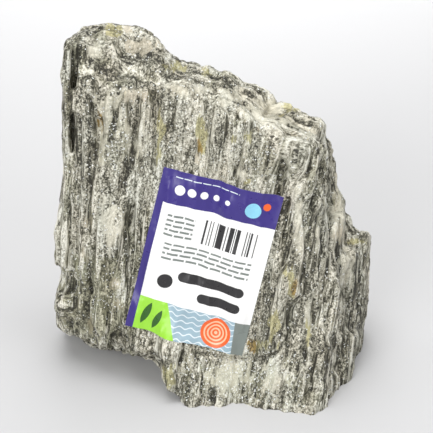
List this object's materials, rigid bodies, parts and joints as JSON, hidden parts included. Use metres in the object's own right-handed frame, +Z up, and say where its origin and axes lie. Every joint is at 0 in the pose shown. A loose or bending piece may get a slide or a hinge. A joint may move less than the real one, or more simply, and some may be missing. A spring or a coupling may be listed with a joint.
{
  "type": "mica schist rock",
  "caption": "Rough upright block of layered mica schist with a flat base, a sloping top, an undercut corner and a small paper label on its broad face.",
  "frame": {"origin": "middle of the rock's box, on the ground", "axes": "+Z up; the broad face with the label looks to -Y; +X to the right of that face"},
  "size_m": [0.139, 0.0942, 0.1524],
  "materials": {
    "schist": "rough broken surface with glittering mica",
    "label_paper": "printed, semi-gloss"
  },
  "bodies": {
    "root": {"rock": "schist", "label": "label_paper"}
  },
  "joints": []
}
